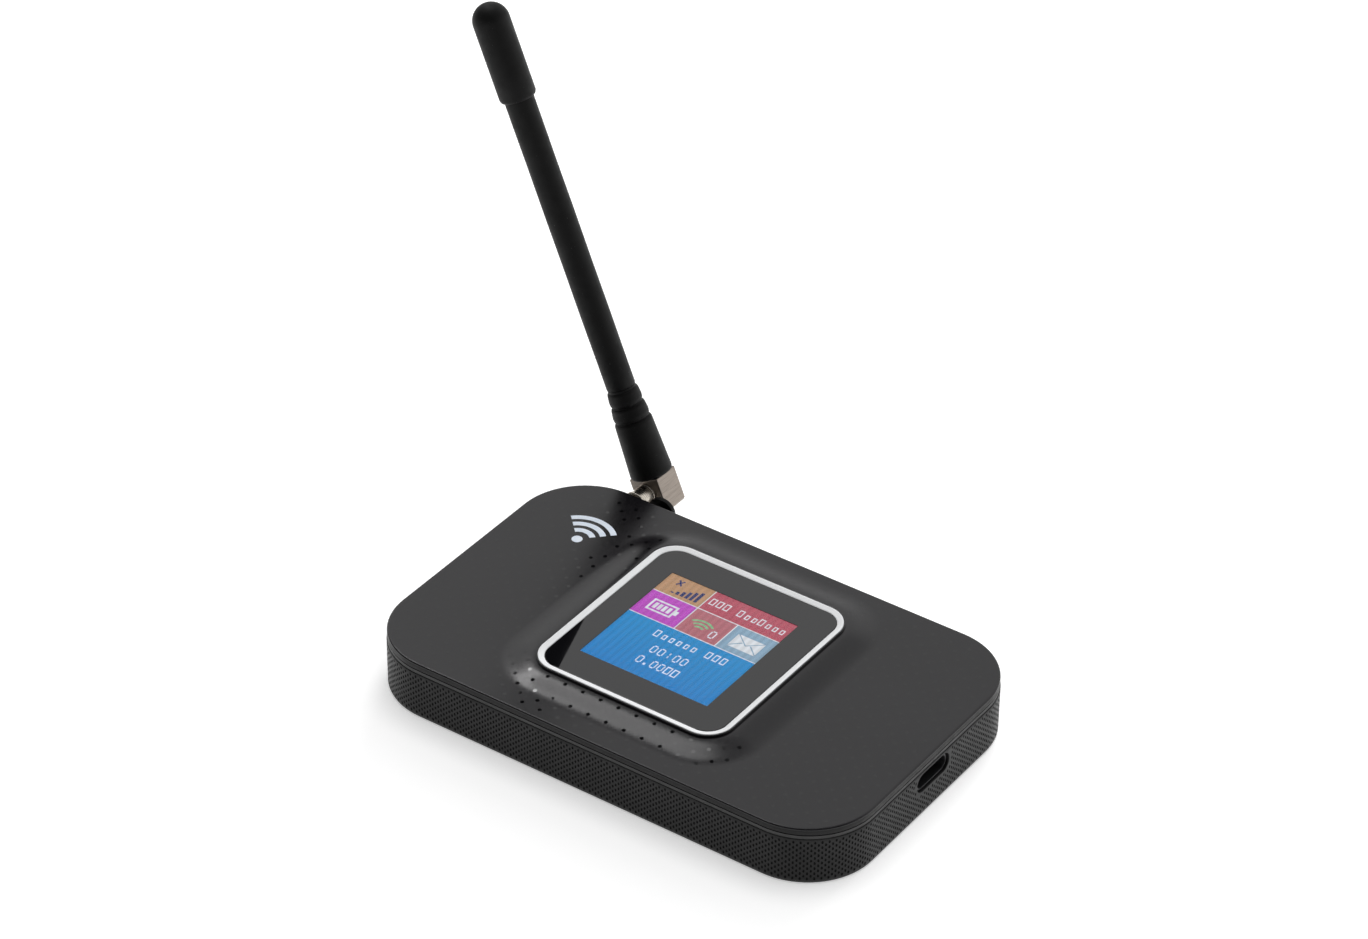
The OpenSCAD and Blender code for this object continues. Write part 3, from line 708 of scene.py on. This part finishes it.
    # the plain patch between the dimples and the slot of the charging socket
    edges = {}
    for _, _, _, loop in removed:
        for a, b in zip(loop, loop[1:] + loop[:1]):
            key = (min(a, b), max(a, b))
            edges[key] = edges.get(key, 0) + 1
    border = [key for key, uses in edges.items() if uses == 1]
    numbers = sorted({n for key in border for n in key})
    flat = [Vector((points[n][1], points[n][2])) for n in numbers]
    where = {n: i for i, n in enumerate(numbers)}
    wanted = [(where[a], where[b]) for a, b in border]
    slot = []
    turns = 20
    for side in (1, -1):
        for k in range(turns + 1):
            angle = -math.pi / 2 * side + math.pi * k / turns
            y = USB_Y + side * usb_straight + USB_HALF_H * math.cos(angle)
            slot.append((y, USB_Z + USB_HALF_H * math.sin(angle)))
    base = len(flat)
    flat += [Vector(p) for p in slot]
    wanted += [(base + i, base + (i + 1) % len(slot)) for i in range(len(slot))]
    out_points, _, out_faces, _, _, _ = delaunay_2d_cdt(flat, wanted, [], 0, 1e-6)
    fresh = [put(p[0] + straight_y / 2, p[1], SKIN_OUT) for p in out_points]
    cells = [
        (j * step, (j + 1) * step, SKIN_LOW + k0 * half, SKIN_LOW + k1 * half)
        for j, k0, k1, _ in removed
    ]
    for face in out_faces:
        s = sum(out_points[i][0] for i in face) / len(face) + straight_y / 2
        z = sum(out_points[i][1] for i in face) / len(face)
        in_gap = any(a < s < b and c < z < d for a, b, c, d in cells)
        if in_gap and not in_slot(s, z, -1e-4):
            faces.append([fresh[i] for i in face])

    # the edge of the slot, turned inward
    lip = [put(y + straight_y / 2, z, SKIN_OUT) for y, z in slot]
    lip_in = []
    for y, z in slot:
        s, height = usb_s + (y - USB_Y) * 0.985, USB_Z + (z - USB_Z) * 0.97
        lip_in.append(put(s, height, SKIN_OUT - 0.12))
    for i in range(len(slot)):
        n = (i + 1) % len(slot)
        faces.append([lip[i], lip[n], lip_in[n], lip_in[i]])

    # soft top and bottom edges, and closed ends at the rear openings
    tuck = -0.05
    for k, way in ((0, -1), (levels - 1, 1)):
        for j in range(SKIN_COLUMNS):
            if not kept[j]:
                continue
            z = SKIN_LOW + k * half
            a, b = corner(j, k), corner(j + 1, k)
            a1, b1 = (put(n * step, z + way * 0.07, SKIN_OUT * 0.7) for n in (j, j + 1))
            a2, b2 = (put(n * step, z + way * 0.1, tuck) for n in (j, j + 1))
            faces.append([a, b, b1, a1])
            faces.append([a1, b1, b2, a2])
    for j in range(SKIN_COLUMNS):
        if kept[j] != kept[j - 1]:
            for k in range(levels - 1):
                a, b = corner(j, k), corner(j, k + 1)
                a1, b1 = (put(j * step, SKIN_LOW + n * half, tuck) for n in (k, k + 1))
                faces.append([a, b, b1, a1])
    # the pit faces take the darker look: painted shade in the dimples
    painted_shade_mask = [int(i in shaded_pit_faces) for i in range(len(faces))]
    looks, bend = ["dimpled_side", "dimple_pit_painted_shade"], math.radians(35)
    piece = add_piece("side_texture", points, faces, looks, face_look=painted_shade_mask, sharp=bend)
    weld = bmesh.new()
    weld.from_mesh(piece.data)
    bmesh.ops.remove_doubles(weld, verts=weld.verts, dist=0.002 * MM)
    bmesh.ops.recalc_face_normals(weld, faces=weld.faces)
    for edge in weld.edges:
        edge.smooth = not (len(edge.link_faces) == 2 and edge.calc_face_angle(0) > bend)
    weld.to_mesh(piece.data)
    weld.free()


# ---------- display ----------


def make_ring():
    """The bright ring, dished from its outer edge down to the window."""
    shape = dict(arc=20, along_x=6, along_y=6)
    top = PILLOW_TOP + 0.05
    low = PILLOW_TOP - RING_DIP
    soft = 0.05

    def at(inset, z):
        return display_ring_at(-inset, z, shape)

    rings = [at(0, SEAT_Z), at(0, top - soft), at(0.015, top - 0.015), at(soft, top)]
    for share in (0.25, 0.5, 0.75):
        rings.append(at(soft + (RING_LINE - 2 * soft) * share, top + (low - top) * share))
    rings += [at(RING_LINE - soft, low), at(RING_LINE - 0.01, low - 0.02)]
    rings += [at(RING_LINE, low - 0.06), at(RING_LINE, SEAT_Z)]
    piece = loops_piece("ring_bright", rings, "ring_silver", closed=True, sharp=math.radians(60))
    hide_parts("display_ring")


def make_lens():
    """The black border of the window, and the clear pane over the lit picture."""
    shape = dict(arc=16, along_x=6, along_y=6)
    gap = RING_LINE + 0.05
    top = PILLOW_TOP - RING_DIP
    bend = math.radians(20)

    def outer(inset, z):
        return display_ring_at(-gap - inset, z, shape)

    def opening(z):
        xy = round_path(PICTURE_HX, PICTURE_HY, 0.1, cx=PICTURE_X, cy=PICTURE_Y, **shape)
        return flat_ring(xy, z)

    edge = ((0, 0.1), (0.03, 0.03), (0.1, 0), (0.12, 0))
    rings = [outer(0, SEAT_Z)] + [outer(inset, top - down) for inset, down in edge]
    rings += [opening(top), opening(SEAT_Z)]
    border = loops_piece("lens_border", rings, "lens_border", closed=True, sharp=bend)
    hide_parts("display_lens")
    sheet = [opening(top - 0.06), opening(top)]
    pane = loops_piece("lens_window", sheet, "lens_window", capped=True, sharp=bend)


DIGITS = {
    "0": ("01110", "10001", "10001", "10001", "10001", "10001", "01110"),
    ":": ("00000", "00100", "00100", "00000", "00100", "00100", "00000"),
    ".": ("00000", "00000", "00000", "00000", "00000", "01100", "01100"),
    "#": ("11111", "10001", "10001", "10001", "10001", "10001", "11111"),
    "o": ("00000", "00000", "01111", "01001", "01001", "01001", "01111"),
}


def make_picture():
    """The lit picture: coloured tiles, plain icons and bars, and clock digits.

    Everything is given in picture cells, u to the right and v down from the top left corner.
    """
    z = PILLOW_TOP - RING_DIP - 0.12
    cell = 2 * PICTURE_HX / PICTURE_COLUMNS
    depth = 2 * PICTURE_HY
    left, back = PICTURE_X - PICTURE_HX, PICTURE_Y + PICTURE_HY
    patches = {}

    def patch(look, outline, lift):
        """A four-cornered patch."""
        corners = [(left + u * cell, back - v * depth / PICTURE_ROWS, z + lift) for u, v in outline]
        patches.setdefault(look, []).append(corners)

    def quad(look, u0, v0, u1, v1, lift=0.0):
        patch(look, [(u0, v1), (u1, v1), (u1, v0), (u0, v0)], lift)

    def cells(look, text, u, v, size=1.15, pitch=8.0):
        """Clock digits, and plain boxes in place of words."""
        for letter in text:
            for j, row in enumerate(DIGITS.get(letter, ())):
                for i, on in enumerate(row):
                    if on == "1":
                        at_u, at_v = u + i * size, v + j * size * 1.3
                        quad(look, at_u, at_v, at_u + size * 0.96, at_v + size * 1.26, 0.02)
            u += pitch

    quad("blue", 0, 63, 128, 132)
    quad("tan", 0, 0, 45, 27)
    quad("red", 46, 0, 128, 27)
    quad("magenta", 0, 28, 45, 62)
    quad("rose", 46, 28, 86, 62)
    quad("steel", 87, 28, 128, 62)
    quad("white", 45, 0, 46, 28, 0.01)
    quad("white", 0, 27, 128, 28, 0.01)
    quad("white", 0, 62, 128, 63, 0.01)
    quad("white", 45, 28, 46, 62, 0.01)
    quad("white", 86, 28, 87, 62, 0.01)
    # signal bars
    for i in range(6):
        quad("navy", 14 + i * 4.6, 23 - 2.6 * (i + 1) + 1, 17 + i * 4.6, 23, 0.02)
    # small cross over the bars
    patch("navy", [(11, 5), (12.3, 4), (17.5, 11), (16.2, 12)], 0.02)
    patch("navy", [(16.2, 4), (17.5, 5), (12.3, 12), (11, 11)], 0.025)
    # plain boxes instead of a title
    cells("pale", "### #oo#ooo", 49, 9, 1.0, 7.0)
    # battery
    case = ((9, 37, 34, 39), (9, 51, 34, 53), (9, 39, 11, 51), (32, 39, 34, 51))
    pole = (34, 42, 37, 48)
    for u0, v0, u1, v1 in (*case, pole):
        quad("white", u0, v0, u1, v1, 0.02)
    for i in range(4):
        quad("white", 13 + i * 4.6, 41, 16.2 + i * 4.6, 49, 0.02)
    # radio waves
    steps, thick = 14, 2.2
    foot_u, foot_v = 62, 54
    for inner in (4.5, 9, 13.5):
        outer = inner + thick
        for k in range(steps):
            a0, a1 = (math.radians(45 + 90 * n / steps) for n in (k, k + 1))
            arc = []
            for angle, reach in ((a0, inner), (a1, inner), (a1, outer), (a0, outer)):
                v = foot_v - reach * 0.95 * math.sin(angle)
                arc.append((foot_u + reach * math.cos(angle), v))
            patch("green", arc, 0.02)
    cells("pale", "0", 74, 46)
    # envelope
    quad("white", 94, 37, 121, 55, 0.02)
    patch("steel", [(94, 37), (95.5, 37), (107.5, 47), (107.5, 48.4)], 0.03)
    patch("steel", [(121, 37), (119.5, 37), (107.5, 47), (107.5, 48.4)], 0.03)
    patch("steel", [(94, 55), (94, 53.6), (103, 45.4), (104, 46.2)], 0.03)
    patch("steel", [(121, 55), (121, 53.6), (112, 45.4), (111, 46.2)], 0.03)
    # boxes instead of a message, clock, and counter with boxes instead of its unit
    cells("pale", "#ooooo ###", 36, 71, 1.0, 7.4)
    cells("pale", "00:00", 46, 90, 1.1, 7.6)
    cells("pale", "0.00##", 44, 107, 1.1, 7.0)

    # each tint at the front and at the rear edge of the display
    tints = {
        "blue": ((0.0, 0.18, 0.53), (0.0, 0.28, 0.58)),
        "tan": ((0.40, 0.22, 0.11), (0.45, 0.26, 0.14)),
        "red": ((0.39, 0.05, 0.09), (0.44, 0.08, 0.12)),
        "magenta": ((0.42, 0.045, 0.45), (0.48, 0.065, 0.52)),
        "rose": ((0.38, 0.11, 0.14), (0.43, 0.14, 0.17)),
        "steel": ((0.20, 0.32, 0.44), (0.24, 0.38, 0.51)),
        "white": ((0.62, 0.66, 0.72), (0.70, 0.73, 0.76)),
        "pale": ((0.60, 0.72, 0.85), (0.72, 0.76, 0.80)),
        "navy": ((0.012, 0.02, 0.10), (0.02, 0.03, 0.14)),
        "green": ((0.16, 0.42, 0.2), (0.22, 0.5, 0.26)),
    }
    for look, items in patches.items():
        points = [p for item in items for p in item]
        faces = [tuple(range(4 * i, 4 * i + 4)) for i in range(len(items))]
        surface = screen_look("screen_" + look, *tints[look])
        piece = add_piece("picture_" + look, points, faces, surface, smooth=False)


# ---------- antenna ----------

AXIS = Matrix.Translation((JACK_X, ELBOW_Y, JACK_Z)) @ Matrix.Rotation(-LEAN, 4, "Y")
ALONG_Y = Matrix.Translation((JACK_X, 0, JACK_Z)) @ Matrix.Rotation(-math.pi / 2, 4, "X")


def make_boot():
    """The rubber boot over the foot of the whip, with its two ribs."""
    low, top, end = 2.61, 13.1, 19.55
    outline = [(CORE_BORE, low), (3.66, low), (3.8, low + 0.4), (3.38, top - 0.3), (3.2, top)]
    for radius, up in (
        (2.95, 0.05), (2.95, 0.3), (3.18, 0.52), (3.25, 1.2), (3.06, 2.6), (2.9, 2.9),
        (2.65, 2.95), (2.65, 3.2), (2.9, 3.45), (2.97, 4.1), (2.82, 5.5),
        (2.68, 5.8), (2.48, 5.85), (2.48, 6.1),
    ):
        outline.append((radius, top + up))
    outline += [(2.55, end), (CORE_BORE, end)]
    profile, bend = rounded_corner(outline, 0.16), math.radians(60)
    boot = lathe("boot_rubber", profile, "antenna_rubber", AXIS, "antenna", 72, True, sharp=bend)
    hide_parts("antenna_boot")


def make_whip():
    """The rubber whip, with the slight waviness of a dipped tube."""
    radius, wave, steps = 2.59, 0.012, 25
    start, end = 19.57, REACH - 5.0
    profile = [(CORE_BORE, start), (2.52, start), (radius, start + 0.1)]
    for k in range(1, steps):
        height = start + 0.1 + (REACH - 5.2 - start) * k / steps
        profile.append((radius - wave * math.sin(k * 0.9), height))
    profile += [(radius, end - 0.1), (2.4, end), (0.0001, end)]
    bend = math.radians(60)
    whip = lathe("whip_rubber", profile, "antenna_rubber", AXIS, "antenna", 56, sharp=bend)
    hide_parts("antenna_whip")


def make_tip():
    """The domed cap on the end of the whip."""
    low = REACH - 17.5
    dome, steps = 3.25, 15
    profile = [(2.57, low + 0.3), (2.6, low + 0.02), (2.7, low), (2.85, low + 0.04)]
    profile += [(3.06, low + 0.2), (dome, low + 0.62), (dome, low + 5), (dome, REACH - dome)]
    for k in range(1, steps):
        angle = math.pi / 2 * k / steps
        profile.append((dome * math.cos(angle), REACH - dome + dome * math.sin(angle)))
    profile += [(0.0001, REACH)]
    bend = math.radians(70)
    tip = lathe("tip_rubber", profile, "antenna_rubber", AXIS, "antenna", 64, sharp=bend)
    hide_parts("antenna_tip")


def make_elbow():
    """The right-angle block, a plate with two cut corners at its foot."""
    half_x, half_y, foot, head, cut = 3.15, 2.7, -4.0, 2.6, 0.4
    outline = [
        (-half_x, foot + cut), (-half_x + cut, foot), (half_x - cut, foot), (half_x, foot + cut),
        (half_x, head), (-half_x, head),
    ]
    bm = bmesh.new()
    front = [bm.verts.new(AXIS @ Vector((x, -half_y, z)) * MM) for x, z in outline]
    rear = [bm.verts.new(AXIS @ Vector((x, half_y, z)) * MM) for x, z in outline]
    bm.faces.new(front)
    bm.faces.new(rear[::-1])
    for i in range(len(outline)):
        n = (i + 1) % len(outline)
        bm.faces.new([front[i], front[n], rear[n], rear[i]])
    bmesh.ops.recalc_face_normals(bm, faces=bm.faces)
    edges = bm.edges[:]
    bmesh.ops.bevel(bm, geom=edges, offset=0.22 * MM, segments=3, profile=0.5, affect="EDGES")
    mesh = bpy.data.meshes.new("elbow_block")
    bm.to_mesh(mesh)
    bm.free()
    mesh.polygons.foreach_set("use_smooth", [True] * len(mesh.polygons))
    mesh.materials.append(LOOKS["brushed_nickel"])
    block = bpy.data.objects.new("elbow_block", mesh)
    bpy.context.scene.collection.objects.link(block)
    keep = block.modifiers.new("even_shading", "WEIGHTED_NORMAL")
    keep.keep_sharp = True
    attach(block, "antenna")
    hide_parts("plug_elbow")


def make_plug():
    """The turned barrel of the plug, with its flange and a fine groove."""
    bore, nose, barrel, flange, groove = 1.0, 1.2, 1.85, 2.15, 1.76
    outline = [
        (bore, 27.2), (1.1, 27.2), (nose, 27.4), (nose, 31.0), (1.9, 31.0),
        (flange, 31.2), (flange, 31.52), (2.02, 31.65), (barrel, 31.67),
        (barrel, 34.3), (groove, 34.36), (groove, 34.52), (barrel, 34.58),
        (barrel, 37.6), (bore, 37.6),
    ]
    profile, bend = rounded_corner(outline, 0.08, 3), math.radians(45)
    plug = lathe("plug_turned", profile, "turned_nickel", ALONG_Y, "plug", 72, True, sharp=bend)
    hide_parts("plug_barrel")


# ---------- carried-over CAD nodes ----------


def dress(node, look, soften):
    """Gives a CAD node its material, and softens its edges with modifiers where asked."""
    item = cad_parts[node]
    for slot in item.material_slots:
        slot.material = LOOKS[look]
    if soften:
        weld = item.modifiers.new("weld", "WELD")
        weld.merge_threshold = 0.001 * MM
        bevel = item.modifiers.new("soft_edges", "BEVEL")
        bevel.width = soften * MM
        bevel.segments = 2
        bevel.limit_method = "ANGLE"
        bevel.angle_limit = math.radians(40)
        bevel.harden_normals = True


def dress_cad_nodes():
    """Dresses each CAD node that has no visual piece of its own: node, look, softening."""
    for node, look, soften in (
        ("chassis", "moulded_shell", 0),
        ("battery_cover", "moulded_shell", 0.15),
        ("top_mark", "mark_ink", 0),
        ("lcd_panel", "lens_border", 0),
        ("lcd_backlight", "waxy_white", 0),
        ("lcd_frame", "tinned_can", 0),
        ("display_flex", "flex_film", 0),
        ("main_board", "board_green", 0),
        ("modem_shield", "tinned_can", 0),
        ("radio_shield", "tinned_can", 0),
        ("modem_chip", "chip_epoxy", 0),
        ("radio_chip", "chip_epoxy", 0),
        ("board_parts", "chip_epoxy", 0),
        ("usb_shell", "port_mouth", 0),
        ("usb_tongue", "chip_epoxy", 0.08),
        ("antenna_jack", "jack_metal", 0),
        ("jack_insulator", "waxy_white", 0),
        ("battery", "battery_wrap", 0.3),
        ("battery_contacts", "contact_gold", 0),
        ("sim_socket", "tinned_can", 0),
        ("sim_card", "plain_card", 0),
        ("power_button", "moulded_shell", 0.2),
        ("pairing_button", "moulded_shell", 0.2),
        ("side_switches", "port_steel", 0),
        ("case_screws", "port_steel", 0),
        ("inner_antenna_front", "contact_gold", 0),
        ("inner_antenna_left", "contact_gold", 0),
        ("cover_anchor", "antenna_rubber", 0),
        ("port_cover", "antenna_rubber", 0.2),
        ("plug_insulator", "waxy_white", 0),
        ("plug_pin", "contact_gold", 0),
        ("antenna_core", "copper_core", 0),
    ):
        dress(node, look, soften)


# ---------- studio ----------


def make_floor():
    bm = bmesh.new()
    bmesh.ops.create_grid(bm, x_segments=8, y_segments=8, size=2.0)
    mesh = bpy.data.meshes.new("studio_floor")
    bm.to_mesh(mesh)
    bm.free()
    mesh.materials.append(LOOKS["studio_floor"])
    floor = bpy.data.objects.new("studio_floor", mesh)
    bpy.context.scene.collection.objects.link(floor)


def make_world():
    """White backdrop behind and to the sides, darker room in front and overhead."""
    world = bpy.data.worlds.new("studio")
    bpy.context.scene.world = world
    world.use_nodes = True
    nodes, links = world.node_tree.nodes, world.node_tree.links
    coord = nodes.new("ShaderNodeTexCoord")
    parts = nodes.new("ShaderNodeSeparateXYZ")
    links.new(coord.outputs["Generated"], parts.inputs["Vector"])

    def bands(value, stops):
        ramp = nodes.new("ShaderNodeValToRGB")
        elements = ramp.color_ramp.elements
        elements[0].position, elements[0].color = stops[0][0], (*grey(stops[0][1]), 1)
        elements[1].position, elements[1].color = stops[-1][0], (*grey(stops[-1][1]), 1)
        for at, level in stops[1:-1]:
            element = elements.new(at)
            element.color = (*grey(level), 1)
        links.new(value, ramp.inputs["Fac"])
        return ramp.outputs["Color"]

    def mix(kind, first, second):
        node = nodes.new("ShaderNodeMix")
        node.data_type = "RGBA"
        node.blend_type = kind
        node.inputs["Factor"].default_value = 1.0
        links.new(first, node.inputs["A"])
        links.new(second, node.inputs["B"])
        return node.outputs["Result"]

    facing = nodes.new("ShaderNodeMapRange")
    facing.inputs["From Min"].default_value = -1
    facing.inputs["From Max"].default_value = 1
    links.new(parts.outputs["Y"], facing.inputs["Value"])
    upward = bands(parts.outputs["Z"], [
        (0.0, 0.78), (0.4, 0.85), (0.57, 1.0), (0.65, 1.0),
        (0.7, 0.04), (0.82, 0.06), (0.86, 0.5), (1.0, 0.7),
    ])
    rearward = facing.outputs["Result"]
    behind = bands(rearward, [(0.0, 0.17), (0.46, 0.18), (0.66, 1.0), (1.0, 1.0)])
    wall = bands(rearward, [(0.0, 0.0), (0.77, 0.0), (0.81, 0.8), (1.0, 0.8)])
    backdrop = mix("LIGHTEN", mix("MULTIPLY", upward, behind), wall)
    links.new(backdrop, nodes["Background"].inputs["Color"])
    nodes["Background"].inputs["Strength"].default_value = 1.0


def softbox(name, place, wide, tall, power, shine=True):
    """A rectangular lamp aimed at the object: seen in reflections only, or fill light only."""
    data = bpy.data.lights.new(name, "AREA")
    data.shape = "RECTANGLE"
    data.size, data.size_y = wide, tall
    data.energy = power
    lamp = bpy.data.objects.new(name, data)
    lamp.location = place
    lamp.rotation_euler = (Vector() - Vector(place)).to_track_quat("-Z", "Y").to_euler()
    lamp.visible_diffuse = not shine
    lamp.visible_glossy = shine
    bpy.context.scene.collection.objects.link(lamp)


def make_studio():
    make_floor()
    make_world()
    softbox("overhead", (-0.38, 0.20, 0.86), 0.5, 0.3, 1.3)
    softbox("left_strip", (-0.57, 0.34, 0.75), 0.2, 0.12, 0.9)
    softbox("back_fill", (-0.15, 0.88, 0.42), 0.7, 0.3, 5.0, shine=False)
    softbox("top_fill", (0.0, 0.1, 1.0), 0.8, 0.8, 4.1, shine=False)
    bpy.context.scene.view_settings.view_transform = "Standard"


make_top_cover()
make_top_dots()
make_side_texture()
make_ring()
make_lens()
make_picture()
make_boot()
make_whip()
make_tip()
make_elbow()
make_plug()
dress_cad_nodes()
make_studio()
